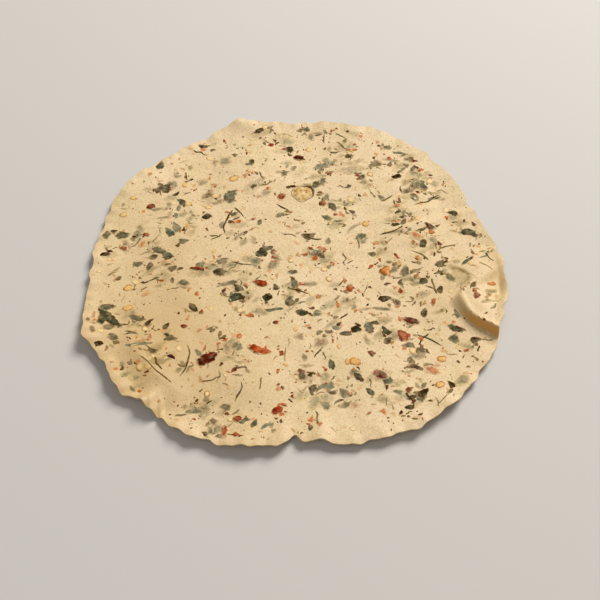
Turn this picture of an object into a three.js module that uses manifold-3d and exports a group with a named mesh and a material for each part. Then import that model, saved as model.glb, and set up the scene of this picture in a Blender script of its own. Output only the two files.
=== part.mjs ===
// A raw spiced papadum: one thin disc of lentil dough, rolled out by hand and dried, with herb leaves,
// chilli flakes, chilli seeds and bits of herb stem pressed into it. It lies on the flat middle of its
// underside. The rim has dried into waves, the right side has folded over itself in a low S-shaped
// step, and the front rim has one split.
// Millimetres, +Z up. +X is to the right and +Y to the back; angles turn from +X towards +Y.
import * as THREE from "three";
import Module from "manifold-3d";

// The sheet.
const SHEET_RADIUS = 83.8;
const SHEET_THICKNESS = 0.6;
const FOOT_RADIUS = 26; // the flat middle that it rests on
const FREE_RADIUS = 52; // from here out the sheet is free to lift
const RINGS = 19; // rings of facets from the centre to the rim
const RING_SIDES = 8; // each ring has this many more facets than the one inside it
const RING_CROWDING = 0.82; // under 1 brings the rings closer together towards the rim

// How the rolled edge swells past the sheet's radius, or falls short of it: degrees round the rim,
// millimetres out, and degrees to either side.
const RIM_SWELLS = [
  { at: 20, rise: -3.6, spread: 13 },
  { at: 60, rise: 1.4, spread: 16 },
  { at: 91, rise: -1.2, spread: 6 },
  { at: 108, rise: 3.2, spread: 7 },
  { at: 151, rise: 2.6, spread: 11 },
  { at: 203, rise: 5.8, spread: 10 },
  { at: 222, rise: 5.2, spread: 9 },
  { at: 243, rise: 4.4, spread: 11 },
  { at: 257, rise: 1.4, spread: 6 },
  { at: 269.5, rise: -3.4, spread: 1.5 }, // the split
  { at: 273, rise: -2.7, spread: 7 },
  { at: 305, rise: 4.0, spread: 17 },
  { at: 329, rise: 1.9, spread: 11 },
  { at: 351, rise: 0.9, spread: 7 },
];

// Waves that the rim dried into: degrees round the rim, lift, degrees to either side, reach inwards.
const RIM_WAVES = [
  { at: 30, lift: 0.6, spread: 10, reach: 14 },
  { at: 64, lift: 0.9, spread: 12, reach: 18 },
  { at: 108, lift: 1.8, spread: 5, reach: 10 },
  { at: 150, lift: 1.2, spread: 9, reach: 18 },
  { at: 180, lift: 0.8, spread: 6, reach: 14 },
  { at: 203, lift: 1.9, spread: 5, reach: 14 },
  { at: 219, lift: 1.3, spread: 4, reach: 12 },
  { at: 229.5, lift: 2.3, spread: 2.2, reach: 13 }, // a pleat, with the dip beside it
  { at: 234.5, lift: -1, spread: 1.8, reach: 10 },
  { at: 243, lift: 1.4, spread: 4, reach: 14 },
  { at: 258, lift: 1.9, spread: 6, reach: 16 },
  { at: 266, lift: 0.8, spread: 2, reach: 20 },
  { at: 277, lift: 0.9, spread: 2.4, reach: 20 },
  { at: 292, lift: 0.8, spread: 6, reach: 16 },
  { at: 309, lift: 1.4, spread: 9, reach: 18 },
];
const RIM_RUFFLE = { waves: 41, lift: 0.35, reach: 9 }; // short waves all round

// Broad slack waves of the whole sheet: crest to crest, the way they run, height, and start.
const SLACK_WAVES = [
  { length: 46, along: 25, height: 0.5, start: 40 },
  { length: 61, along: 112, height: 0.45, start: 200 },
  { length: 37, along: 160, height: 0.3, start: 90 },
];

const CUP_RISE = 1.1; // the rim stands this much above the middle
// A sharp ridge inside the front left rim: it climbs gently from the inside and falls quickly to the rim.
const CREASE = { at: 222, spread: 12, radius: 75, inner: 22, outer: 8, height: 2.3 };
const ROLLING_RIDGES = { x: 47, y: 26, spread: 21, length: 7.5, along: 107, height: 0.5 };
const BLISTER = { x: -19, y: -57, long: 13, wide: 7, turn: 20, height: 0.9 };
const HUSK_DOME = { x: 2, y: 40, radius: 4.5, height: 0.4 };

// The fold on the right: a step along an S-shaped line, high on the rim side. The line bows to the left of
// a straight one, jogs over to its right and comes most of the way back, all by share of its length.
const FOLD = {
  x: 60, // the inner end of the line
  y: 1.5,
  along: -61, // the way the line runs
  length: 37,
  bow: { out: 3, at: 0.29, spread: 0.14 },
  jog: { out: 8, from: 0.38, to: 0.52 },
  back: { share: 0.6, from: 0.75, to: 1.15 },
  run: 2.4, // width of the slope
  softRun: { more: 2.9, at: 0.52, spread: 0.14 }, // and how much wider it is where the line has jogged
  riseInner: 1.3,
  riseOuter: 3.6,
  flat: 6, // stays high this far past the slope
  reach: 24, // and is down again this far past it
};
const FOLD_LIP = { at: 350, spread: 9, height: 2, reach: 3 }; // the rim of the fold curls up

// Kinds of flake in the dough: how far they stand out, how wide they are at four stations along their
// length, and the draws, the number and the sizes of those that are spread between the largest ones.
const FLAKE_BURY = 0.25; // how deep the foot of a flake goes into the sheet
const FLAKE_STATIONS = [-1, -0.4, 0.4, 1];
const FLAKE_SHOULDER = 0.66; // width of a flake's flat top against its foot
const FLAKE_KINDS = {
  leaf: { relief: 0.22, widths: [0.16, 1, 0.8, 0.1], seed: 101, spread: 8, longest: 5.5, shortest: 4, slim: 0.55 },
  chilli: { relief: 0.5, widths: [0.4, 1, 0.85, 0.3], seed: 201, spread: 8, longest: 5, shortest: 3.4, slim: 0.6 },
  seed: { relief: 0.45, widths: [0.45, 1, 1, 0.45], seed: 301, spread: 8, longest: 3.8, shortest: 3, slim: 0.85 },
  stem: { relief: 0.3, widths: [0.6, 1, 1, 0.5], seed: 401, spread: 6, longest: 10, shortest: 6, slim: 0.08 },
};
const SPREAD_ROUND_STEP = 0.7548777; // these two steps fill a square evenly, whatever the count
const SPREAD_OUT_STEP = 0.5698403;
const SPREAD_JITTER = 3;
const SPREAD_MARGIN = 7; // from the rim
const SPREAD_CLEAR = 6.5; // from one flake to the next
const SPREAD_HUSK_CLEAR = 2; // from the dome of the husk
const SPREAD_STEEPEST = 0.35; // none lie where the sheet is steeper
const SPREAD_TRIES = 8; // spots looked at for each flake

// The largest flakes of each kind: x, y, length, width, turn.
const LARGEST_FLAKES = {
  leaf: [
    [-61, 55, 6, 3.6, 70],
    [-58, 42, 6.5, 5, 30],
    [-32, 59, 8, 6, 100],
    [-29, 38, 9, 6, 80],
    [-5, 71, 7.5, 6, 20],
    [-73, 15, 7, 4.5, 10],
    [-57, 7, 7, 3.5, -20],
    [-75, -22, 7.5, 2.5, 16],
    [-73.5, -27.5, 12, 2.6, -42],
    [-63, -27, 8, 3, -15],
    [-15, 7, 5.5, 5, 40],
    [-24, -16, 5.4, 4.8, 10],
    [2, -23.5, 6, 3.2, -8],
    [-41, -22, 5.8, 3, -50],
    [35, -17, 6, 3, 10],
    [28, -31.5, 7.5, 4, -75],
    [23, -54, 5.5, 2.8, -50],
    [46.5, -61.5, 6, 3, 40],
    [61, -56, 7, 5, 40],
    [72, 16, 8, 4.5, -15],
    [27, 15.5, 6, 4, 25],
    [15, 32, 6, 3.6, -60],
    [62, -32, 8, 3, -20],
    [44, -4, 7, 4, 90],
  ],
  chilli: [
    [1, 61, 7, 2.4, -10],
    [-41, -2, 6.5, 2, -8],
    [-15, -9, 7.5, 3.4, -5],
    [-14.5, -41.5, 9.5, 4.5, -10],
    [-34, -46, 9, 5, 50],
    [41, -35, 5.8, 5, 20],
    [45, -28, 8, 3.6, -5],
    [36, -3, 5.2, 4.6, 60],
    [50, 15, 7, 4.5, -25],
    [56, 20, 5.5, 3, -25],
    [31, -53, 6.5, 4.5, -5],
    [-26, -77, 7, 2.6, 95],
    [-7, -68, 4.6, 3.6, 30],
    [51, -51, 6, 4.5, -30],
    [-63, 31, 4, 3, 60],
    [21.5, -11.5, 4.4, 3.4, 30],
  ],
  seed: [
    [-68, -12, 3.8, 3.4, 20],
    [11, -2, 3.3, 2.8, 0],
    [22, -47, 4.6, 4, 150],
    [53, -58, 3.7, 3.2, 60],
    [55, -46, 3.7, 3.2, 20],
    [-28, 48, 5.2, 4, 30],
    [29, 22.5, 3.4, 3, 0],
    [58, 46, 4, 3, 80],
    [23, 36, 4, 3.2, 100],
    [5, 66, 3.3, 3, 0],
  ],
  stem: [
    [-30, 24, 15, 0.9, 75],
    [56, 35, 14, 0.8, 25],
    [40, 18, 13, 0.7, 25],
    [6, 15, 9, 1, -15],
    [62, 9, 10, 0.6, 20],
    [-42, -47, 16, 0.8, 85],
    [-32, -55, 8, 0.6, 15],
    [12, 73, 7, 0.6, 85],
    [51, -37, 12, 0.7, -30],
    [-23, 1, 10, 0.8, -15],
  ],
};

const DEGREE = Math.PI / 180;
const { clamp, smoothstep, lerp } = THREE.MathUtils;

// 1 at the middle of a swelling, falling smoothly to either side.
function hump(share) {
  return Math.exp(-share * share);
}

// Degrees from one place round the rim to another, between -180 and 180.
function turnBetween(from, to) {
  return THREE.MathUtils.euclideanModulo(to - from + 180, 360) - 180;
}

// A spot's place along a line that runs at an angle from a start, and its distance to the line's left.
function alongLine(x, y, start, angle) {
  const cos = Math.cos(angle * DEGREE);
  const sin = Math.sin(angle * DEGREE);
  return { along: (x - start.x) * cos + (y - start.y) * sin, left: (y - start.y) * cos - (x - start.x) * sin };
}

function angleOf(x, y) {
  return Math.atan2(y, x) / DEGREE;
}

function rimRadius(angle) {
  let radius = SHEET_RADIUS;
  for (const { at, rise, spread } of RIM_SWELLS) radius += rise * hump(turnBetween(at, angle) / spread);
  return radius;
}

function rimWaveHeight(angle, inwards) {
  let height = 0;
  for (const { at, lift, spread, reach } of RIM_WAVES) {
    height += lift * hump(turnBetween(at, angle) / spread) * (1 - smoothstep(inwards, 0, reach));
  }
  const ruffle = (1 + Math.sin(RIM_RUFFLE.waves * angle * DEGREE)) / 2;
  return height + RIM_RUFFLE.lift * ruffle * (1 - smoothstep(inwards, 0, RIM_RUFFLE.reach));
}

function slackWaveHeight(x, y) {
  let height = 0;
  for (const wave of SLACK_WAVES) {
    const { along } = alongLine(x, y, { x: 0, y: 0 }, wave.along);
    height += (wave.height / 2) * (1 + Math.sin((along / wave.length) * 2 * Math.PI + wave.start * DEGREE));
  }
  return height;
}

function creaseHeight(angle, radius) {
  const across = hump(turnBetween(CREASE.at, angle) / CREASE.spread);
  const beyond = radius - CREASE.radius;
  const down = Math.max(-beyond / CREASE.inner, beyond / CREASE.outer);
  return CREASE.height * across * clamp(1 - down, 0, 1);
}

function rollingRidgeHeight(x, y) {
  const { along } = alongLine(x, y, ROLLING_RIDGES, ROLLING_RIDGES.along);
  const near = hump(Math.hypot(x - ROLLING_RIDGES.x, y - ROLLING_RIDGES.y) / ROLLING_RIDGES.spread);
  return (ROLLING_RIDGES.height / 2) * near * (1 + Math.sin((along / ROLLING_RIDGES.length) * 2 * Math.PI));
}

function blisterHeight(x, y) {
  const { along, left } = alongLine(x, y, BLISTER, BLISTER.turn);
  return BLISTER.height * hump(along / BLISTER.long) * hump(left / BLISTER.wide);
}

function huskDomeHeight(x, y) {
  const out = Math.hypot(x - HUSK_DOME.x, y - HUSK_DOME.y) / HUSK_DOME.radius;
  return HUSK_DOME.height * hump(out * out);
}

function foldHeight(x, y, angle, inwards) {
  const { along, left } = alongLine(x, y, FOLD, FOLD.along);
  const share = along / FOLD.length;
  const bow = FOLD.bow.out * hump((share - FOLD.bow.at) / FOLD.bow.spread);
  const back = FOLD.back.share * smoothstep(share, FOLD.back.from, FOLD.back.to);
  const jog = FOLD.jog.out * smoothstep(share, FOLD.jog.from, FOLD.jog.to) * (1 - back);
  const past = left - bow + jog;
  const run = FOLD.run + FOLD.softRun.more * hump((share - FOLD.softRun.at) / FOLD.softRun.spread);
  const rise = lerp(FOLD.riseInner, FOLD.riseOuter, clamp(share, 0, 1));
  const climb = clamp(past / run + 0.5, 0, 1);
  const slope = 0.5 * smoothstep(climb, 0, 1) + 0.5 * (1 - Math.cos((climb * Math.PI) / 2)); // a sharp crest
  const fall = 1 - smoothstep(past, FOLD.flat, FOLD.reach);
  const started = smoothstep(share, -0.05, 0.25);
  const lip = FOLD_LIP.height * hump(turnBetween(FOLD_LIP.at, angle) / FOLD_LIP.spread);
  return rise * slope * fall * started + lip * (1 - smoothstep(inwards, 0, FOLD_LIP.reach));
}

// Height of the middle of the sheet's thickness above the table.
function sheetHeight(x, y) {
  const radius = Math.hypot(x, y);
  const angle = angleOf(x, y);
  const inwards = Math.max(rimRadius(angle) - radius, 0);
  const lifted =
    CUP_RISE * (radius / SHEET_RADIUS) ** 3 +
    slackWaveHeight(x, y) +
    rimWaveHeight(angle, inwards) +
    creaseHeight(angle, radius) +
    rollingRidgeHeight(x, y) +
    blisterHeight(x, y) +
    huskDomeHeight(x, y);
  const free = smoothstep(radius, FOOT_RADIUS, FREE_RADIUS);
  return SHEET_THICKNESS / 2 + free * lifted + foldHeight(x, y, angle, inwards);
}

// Upward normal of the sheet, from its height a short step to either side.
function sheetNormal(x, y) {
  const step = 0.2;
  return new THREE.Vector3(
    (sheetHeight(x - step, y) - sheetHeight(x + step, y)) / (2 * step),
    (sheetHeight(x, y - step) - sheetHeight(x, y + step)) / (2 * step),
    1,
  ).normalize();
}

// A spot on the sheet, raised off the middle of its thickness along the normal.
function sheetPoint(x, y, raised) {
  return new THREE.Vector3(x, y, sheetHeight(x, y)).addScaledVector(sheetNormal(x, y), raised);
}

// Plan of the sheet's facets: the centre, then each ring from the inside out. The swells of the rim
// fade quickly towards the middle.
function ringPlan() {
  const plan = [[0, 0]];
  for (let ring = 1; ring <= RINGS; ring++) {
    const share = (ring / RINGS) ** RING_CROWDING;
    const sides = RING_SIDES * ring;
    for (let side = 0; side < sides; side++) {
      const angle = (360 * side) / sides;
      const radius = SHEET_RADIUS * share + (rimRadius(angle) - SHEET_RADIUS) * share ** 4;
      plan.push([radius * Math.cos(angle * DEGREE), radius * Math.sin(angle * DEGREE)]);
    }
  }
  return plan;
}

// Place in the plan of a point of a ring.
function ringPoint(ring, side) {
  if (ring === 0) return 0;
  const inner = (RING_SIDES * ring * (ring - 1)) / 2;
  return 1 + inner + THREE.MathUtils.euclideanModulo(side, RING_SIDES * ring);
}

// Facets between the rings, counter-clockwise seen from above.
function ringFacets() {
  const facets = [];
  for (let ring = 1; ring <= RINGS; ring++) {
    for (let sector = 0; sector < RING_SIDES; sector++) {
      for (let side = 0; side < ring; side++) {
        const outer = ringPoint(ring, sector * ring + side);
        const next = ringPoint(ring, sector * ring + side + 1);
        const inner = ringPoint(ring - 1, sector * (ring - 1) + side);
        facets.push([outer, next, inner]);
        if (side < ring - 1) facets.push([next, ringPoint(ring - 1, sector * (ring - 1) + side + 1), inner]);
      }
    }
  }
  return facets;
}

const wasm = await Module();
wasm.setup();

function solidFrom(points, facets) {
  const vertProperties = new Float32Array(points.flatMap((point) => point.toArray()));
  const triVerts = new Uint32Array(facets.flat());
  return new wasm.Manifold(new wasm.Mesh({ numProp: 3, vertProperties, triVerts }));
}

// The rolled dough: the same facets above and below, closed by a band round the rim.
function doughSheet() {
  const plan = ringPlan();
  const above = plan.map(([x, y]) => sheetPoint(x, y, SHEET_THICKNESS / 2));
  const below = plan.map(([x, y]) => sheetPoint(x, y, -SHEET_THICKNESS / 2));
  const under = plan.length;
  const facets = [];
  for (const [a, b, c] of ringFacets()) facets.push([a, b, c], [under + a, under + c, under + b]);
  for (let side = 0; side < RING_SIDES * RINGS; side++) {
    const a = ringPoint(RINGS, side);
    const b = ringPoint(RINGS, side + 1);
    facets.push([under + a, under + b, b], [under + a, b, a]);
  }
  return solidFrom([...above, ...below], facets);
}

// One flake: a low flat-topped mound along its length, following the sheet and sunk a little into it.
function flake(kind, [x, y, length, width, turn]) {
  const { relief, widths } = FLAKE_KINDS[kind];
  const cos = Math.cos(turn * DEGREE);
  const sin = Math.sin(turn * DEGREE);
  const half = SHEET_THICKNESS / 2;
  const points = [];
  FLAKE_STATIONS.forEach((station, row) => {
    const along = (station * length) / 2;
    const wide = (widths[row] * width) / 2;
    const section = [
      [-wide, half - FLAKE_BURY],
      [wide, half - FLAKE_BURY],
      [wide * FLAKE_SHOULDER, half + relief],
      [-wide * FLAKE_SHOULDER, half + relief],
    ];
    for (const [across, raised] of section) {
      points.push(sheetPoint(x + along * cos - across * sin, y + along * sin + across * cos, raised));
    }
  });
  const corners = 4;
  const last = corners * (FLAKE_STATIONS.length - 1);
  const facets = [
    [0, 2, 1],
    [0, 3, 2],
    [last, last + 1, last + 2],
    [last, last + 2, last + 3],
  ];
  for (let row = 0; row < last; row += corners) {
    for (let corner = 0; corner < corners; corner++) {
      const a = row + corner;
      const b = row + ((corner + 1) % corners);
      facets.push([a, b, b + corners], [a, b + corners, a + corners]);
    }
  }
  return solidFrom(points, facets);
}

// Draws between 0 and 1, the same on every run.
function seededDraws(seed) {
  let state = seed;
  return () => {
    state = (state * 16807) % 2147483647;
    return state / 2147483647;
  };
}

// Whether a flake can lie at a spot: well inside the rim, off the husk and the fold, and clear of the others.
function hasRoom(x, y, placed) {
  if (rimRadius(angleOf(x, y)) - Math.hypot(x, y) < SPREAD_MARGIN) return false;
  if (Math.hypot(x - HUSK_DOME.x, y - HUSK_DOME.y) < HUSK_DOME.radius + SPREAD_HUSK_CLEAR) return false;
  const normal = sheetNormal(x, y);
  if (Math.hypot(normal.x, normal.y) / normal.z > SPREAD_STEEPEST) return false;
  return placed.every(({ row }) => Math.hypot(x - row[0], y - row[1]) >= SPREAD_CLEAR);
}

// Every flake that stands out of the sheet, kind by kind: the largest ones, then the next largest spread
// evenly between what already lies there.
function placedFlakes() {
  const placed = [];
  for (const [kind, { seed, spread, longest, shortest, slim }] of Object.entries(FLAKE_KINDS)) {
    for (const row of LARGEST_FLAKES[kind]) placed.push({ kind, row });
    const draw = seededDraws(seed);
    draw(); // the first one is small, as the seed is, so it isn't used
    const start = draw();
    let made = 0;
    for (let step = 1; made < spread && step <= SPREAD_TRIES * spread; step++) {
      const angle = 360 * ((start + step * SPREAD_ROUND_STEP) % 1);
      const reach = rimRadius(angle) - SPREAD_MARGIN;
      const out = reach * Math.sqrt((start + step * SPREAD_OUT_STEP) % 1);
      const x = out * Math.cos(angle * DEGREE) + SPREAD_JITTER * (draw() - 0.5);
      const y = out * Math.sin(angle * DEGREE) + SPREAD_JITTER * (draw() - 0.5);
      const turn = 180 * draw();
      if (!hasRoom(x, y, placed)) continue;
      const length = longest * (shortest / longest) ** (made / spread);
      placed.push({ kind, row: [x, y, length, Math.max(length * slim, 0.7), turn] });
      made += 1;
    }
  }
  return placed;
}

// The finished papadum: the dough with its flakes fused on, in one solid.
function papadumGeometry() {
  let solid = doughSheet();
  for (const { kind, row } of placedFlakes()) solid = solid.add(flake(kind, row));
  const made = solid.getMesh();
  const geometry = new THREE.BufferGeometry();
  geometry.setAttribute("position", new THREE.BufferAttribute(made.vertProperties, 3));
  geometry.setIndex(new THREE.BufferAttribute(made.triVerts, 1));
  geometry.computeVertexNormals();
  geometry.computeBoundingBox();
  return geometry;
}

const geometry = papadumGeometry();
const dough = new THREE.MeshStandardMaterial({ color: 0xe6c99b, roughness: 0.6, metalness: 0 });
const papadum = new THREE.Mesh(geometry, dough);
papadum.name = "papadum";

// The origin is under the middle of the sheet, on the table.
const middle = geometry.boundingBox.getCenter(new THREE.Vector3());
papadum.position.set(-middle.x, -middle.y, -geometry.boundingBox.min.z);

const part = new THREE.Group();
part.add(papadum);

export default part;
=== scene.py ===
import math

import bpy
import numpy as np
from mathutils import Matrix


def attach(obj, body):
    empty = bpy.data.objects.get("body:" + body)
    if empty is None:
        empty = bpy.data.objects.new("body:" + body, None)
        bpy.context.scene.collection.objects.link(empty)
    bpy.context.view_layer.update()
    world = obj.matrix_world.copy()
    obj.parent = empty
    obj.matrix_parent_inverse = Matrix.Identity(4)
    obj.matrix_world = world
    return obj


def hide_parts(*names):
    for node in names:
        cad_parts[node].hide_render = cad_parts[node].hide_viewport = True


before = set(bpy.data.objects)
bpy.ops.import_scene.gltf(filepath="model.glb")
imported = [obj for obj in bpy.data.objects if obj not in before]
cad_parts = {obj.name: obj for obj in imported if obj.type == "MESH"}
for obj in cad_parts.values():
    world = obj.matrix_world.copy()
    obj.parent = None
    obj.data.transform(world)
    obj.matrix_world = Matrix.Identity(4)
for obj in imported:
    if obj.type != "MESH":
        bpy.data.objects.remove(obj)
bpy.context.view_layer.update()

# Dough sheet.
# The papadum itself: lentil flour dough, rolled out by hand to about the thickness of card, then dried.
# Drying has waved its rim and folded its right side over itself in a low S-shaped step.
# Sizes are in millimetres and angles in degrees, from +X towards +Y, as in the solid that it stands for.
MM = 0.001
SHEET_RADIUS = 83.8
SHEET_THICKNESS = 0.6
FOOT_RADIUS = 26  # the flat middle that it rests on
FREE_RADIUS = 52  # from here out the sheet is free to lift
SHEET_RINGS = 104  # rings of facets from the centre to the rim
RING_SIDES = 8
RING_CROWDING = 0.82
RIM_SWELLS = (  # degrees round the rim, millimetres out, degrees to either side
    (20, -3.6, 13),
    (60, 1.4, 16),
    (91, -1.2, 6),
    (108, 3.2, 7),
    (151, 2.6, 11),
    (203, 5.8, 10),
    (222, 5.2, 9),
    (243, 4.4, 11),
    (257, 1.4, 6),
    (269.5, -3.4, 1.5),
    (273, -2.7, 7),
    (305, 4.0, 17),
    (329, 1.9, 11),
    (351, 0.9, 7),
)
RIM_WAVES = (  # degrees round the rim, lift, degrees to either side, reach inwards
    (30, 0.6, 10, 14),
    (64, 0.9, 12, 18),
    (108, 1.8, 5, 10),
    (150, 1.2, 9, 18),
    (180, 0.8, 6, 14),
    (203, 1.9, 5, 14),
    (219, 1.3, 4, 12),
    (229.5, 2.3, 2.2, 13),
    (234.5, -1.0, 1.8, 10),
    (243, 1.4, 4, 14),
    (258, 1.9, 6, 16),
    (266, 0.8, 2, 20),
    (277, 0.9, 2.4, 20),
    (292, 0.8, 6, 16),
    (309, 1.4, 9, 18),
)
RIM_RUFFLE = {"waves": 41, "lift": 0.35, "reach": 9}  # short waves all round
RIM_CRIMPS = {  # shorter ones still, mostly at the front left, too fine for the solid
    "waves": 93, "uneven": 70, "uneven_waves": 11, "at": 226, "spread": 34, "least": 0.25,
    "lift": 0.75, "reach": 6, "depth": 0.4, "fold_at": 345, "fold_spread": 22,
}
# Two narrow ridges that run out to the front left rim, too fine for the solid.
PLEATS = (  # x, y, the way they run, where they start and where they are full, height, width
    (-54.2, -58, -84, 2, 8, 0.8, 0.9),
    (-51, -59, -82, 2, 8, 0.7, 0.9),
)
SLACK_WAVES = (  # crest to crest, the way they run, height, start
    (46, 25, 0.5, 40),
    (61, 112, 0.45, 200),
    (37, 160, 0.3, 90),
)
CUP_RISE = 1.1
CREASE = {"at": 222, "spread": 12, "radius": 75, "inner": 22, "outer": 8, "height": 2.3}
ROLLING_RIDGES = {"x": 47, "y": 26, "spread": 21, "length": 7.5, "along": 107, "height": 0.5}
BLISTER = {"x": -19, "y": -57, "long": 13, "wide": 7, "turn": 20, "height": 0.9}
HUSK_DOME = {"x": 2, "y": 40, "radius": 4.5, "height": 0.4}
FOLD = {
    "x": 60, "y": 1.5, "along": -61, "length": 37,  # the line that it follows in to out
    "bow": 3, "bow_at": 0.29, "bow_spread": 0.14,  # to the left of the line, by share of the length
    "jog": 8, "jog_from": 0.38, "jog_to": 0.52,  # then to the right of it
    "back": 0.6, "back_from": 0.75, "back_to": 1.15,  # and most of the way back
    "run": 2.4, "soft_run": 2.9, "soft_at": 0.52, "soft_spread": 0.14,
    "rise_inner": 1.3, "rise_outer": 3.6, "flat": 6, "reach": 24,
    "start_from": -0.05, "start_to": 0.25,  # where it rises out of the flat sheet, by share of the length
    # A low roll along the top of the slope, too fine for the solid, and where it rises.
    "crest": 0.45, "crest_width": 1.2, "crest_from": 0.3, "crest_to": 0.6,
}
FOLD_LIP = {"at": 350, "spread": 9, "height": 2.0, "reach": 3.0}
RIM_NIBBLES = (  # waves round the rim, depth, start
    (23, 0.3, 40),
    (37, 0.25, 110),
    (53, 0.3, 70),
    (71, 0.14, 10),
    (103, 0.1, 200),
)
SKIN_WAVES = 18
SKIN_WAVE_LENGTHS = (4.0, 16.0)
SKIN_STEEPNESS = 0.0016
SLOPE_STEP = 0.2  # how far to either side a slope is measured
EDGE_BULGE = 0.14  # how far the cut edge of the sheet is rounded out
EDGE_CORNER = 50  # degrees: what is bent more shows as a corner
RIM_OCHRE = {"most": 0.15, "width": 2.5}
# Painted shade: ochre patches where the sheet tilts away from the light or lies far from it, and inside the
# fold's lip.
PAINTED_SHADE_PATCHES = (  # x, y, spread, share of painted ochre shade, with that inside the lip of the fold as the last three
    (-54, -44, 34, 0.72),
    (0, -84, 22, 0.3),
    (62, 12, 26, 0.2),
    (60, -24, 30, 0.3),
    (-78, 12, 34, 0.2),
    (-42, 14, 20, 0.2),
    (80, 2, 4, 0.4),
    (81.5, -5, 4, 0.45),
    (81, -12, 4, 0.4),
)
PAINTED_AMBER_SLOPES = (0.2, 1.2)  # slopes to the back where the painted amber shade begins, and where it is full
LOWEST = -0.02  # what is pressed into the underside lies this nearly flush where the sheet touches the table
FOOT_FLUSH = 0.1  # the share of its height that a flake keeps there


def hump(share):
    """1 at nought, falling off to either side."""
    return np.exp(-share * share)


def ramp(value, low, high):
    """From 0 at the low value to 1 at the high one, with a soft start and end."""
    share = np.clip((value - low) / (high - low), 0.0, 1.0)
    return share * share * (3.0 - 2.0 * share)


def turn_between(start, end):
    """Degrees from one angle to another, by the shorter way round."""
    return (end - start + 180.0) % 360.0 - 180.0


def along_line(x, y, start_x, start_y, angle):
    """How far spots lie along a line, and how far to the left of it."""
    cos, sin = math.cos(math.radians(angle)), math.sin(math.radians(angle))
    return (x - start_x) * cos + (y - start_y) * sin, (y - start_y) * cos - (x - start_x) * sin


def rim_radius(angle):
    radius = SHEET_RADIUS
    for at, rise, spread in RIM_SWELLS:
        radius = radius + rise * hump(turn_between(at, angle) / spread)
    return radius


def crimps(angle):
    """Short uneven waves of the rim, from 0 to 1."""
    uneven = RIM_CRIMPS["uneven"] * np.sin(np.radians(RIM_CRIMPS["uneven_waves"] * angle))
    wave = (1 + np.sin(np.radians(RIM_CRIMPS["waves"] * angle + uneven))) / 2
    most = hump(turn_between(RIM_CRIMPS["at"], angle) / RIM_CRIMPS["spread"])
    off_fold = 1 - hump(turn_between(RIM_CRIMPS["fold_at"], angle) / RIM_CRIMPS["fold_spread"])
    return wave * (RIM_CRIMPS["least"] * off_fold + (1 - RIM_CRIMPS["least"]) * most)


def fold_height(x, y, angle, inwards):
    """A step up along an S-shaped line, which falls slowly back to the sheet beyond it."""
    along, left = along_line(x, y, FOLD["x"], FOLD["y"], FOLD["along"])
    share = along / FOLD["length"]
    left = left - FOLD["bow"] * hump((share - FOLD["bow_at"]) / FOLD["bow_spread"])
    back = FOLD["back"] * ramp(share, FOLD["back_from"], FOLD["back_to"])
    left = left + FOLD["jog"] * ramp(share, FOLD["jog_from"], FOLD["jog_to"]) * (1 - back)
    run = FOLD["run"] + FOLD["soft_run"] * hump((share - FOLD["soft_at"]) / FOLD["soft_spread"])
    inside = np.clip(share, 0.0, 1.0)
    rise = FOLD["rise_inner"] + (FOLD["rise_outer"] - FOLD["rise_inner"]) * inside
    climb = np.clip(left / run + 0.5, 0.0, 1.0)
    slope = 0.5 * ramp(climb, 0, 1) + 0.5 * (1 - np.cos(climb * math.pi / 2))
    fall = 1 - ramp(left, FOLD["flat"], FOLD["reach"])
    lip = FOLD_LIP["height"] * hump(turn_between(FOLD_LIP["at"], angle) / FOLD_LIP["spread"])
    crest = FOLD["crest"] * hump((left - run / 2) / FOLD["crest_width"])
    crest = crest * ramp(share, FOLD["crest_from"], FOLD["crest_to"])
    folded = rise * slope * fall * ramp(share, FOLD["start_from"], FOLD["start_to"]) + crest
    return folded + lip * (1 - ramp(inwards, 0, FOLD_LIP["reach"]))


def lifted_height(x, y, angle, radius, inwards):
    """How far the free part of the sheet lifts: cupped, slack, waved at its rim, creased and blistered."""
    height = CUP_RISE * (radius / SHEET_RADIUS) ** 3
    for length, way, rise, start in SLACK_WAVES:
        along, _ = along_line(x, y, 0, 0, way)
        height = height + rise / 2 * (1 + np.sin(along / length * 2 * math.pi + math.radians(start)))
    for at, lift, spread, reach in RIM_WAVES:
        height = height + lift * hump(turn_between(at, angle) / spread) * (1 - ramp(inwards, 0, reach))
    ruffle = (1 + np.sin(np.radians(RIM_RUFFLE["waves"] * angle))) / 2
    height = height + RIM_RUFFLE["lift"] * ruffle * (1 - ramp(inwards, 0, RIM_RUFFLE["reach"]))
    height = height + RIM_CRIMPS["lift"] * crimps(angle) * (1 - ramp(inwards, 0, RIM_CRIMPS["reach"]))
    for start_x, start_y, way, start, full, rise, width in PLEATS:
        along, left = along_line(x, y, start_x, start_y, way)
        height = height + rise * ramp(along, start, full) * hump(left / width)
    beyond = radius - CREASE["radius"]
    across = hump(turn_between(CREASE["at"], angle) / CREASE["spread"])
    tent = np.clip(1 - np.maximum(-beyond / CREASE["inner"], beyond / CREASE["outer"]), 0, 1)
    height = height + CREASE["height"] * across * tent
    along, _ = along_line(x, y, ROLLING_RIDGES["x"], ROLLING_RIDGES["y"], ROLLING_RIDGES["along"])
    near = hump(np.hypot(x - ROLLING_RIDGES["x"], y - ROLLING_RIDGES["y"]) / ROLLING_RIDGES["spread"])
    ridges = 1 + np.sin(along / ROLLING_RIDGES["length"] * 2 * math.pi)
    height = height + ROLLING_RIDGES["height"] / 2 * near * ridges
    along, left = along_line(x, y, BLISTER["x"], BLISTER["y"], BLISTER["turn"])
    height = height + BLISTER["height"] * hump(along / BLISTER["long"]) * hump(left / BLISTER["wide"])
    out = np.hypot(x - HUSK_DOME["x"], y - HUSK_DOME["y"]) / HUSK_DOME["radius"]
    return height + HUSK_DOME["height"] * hump(out * out)


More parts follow.
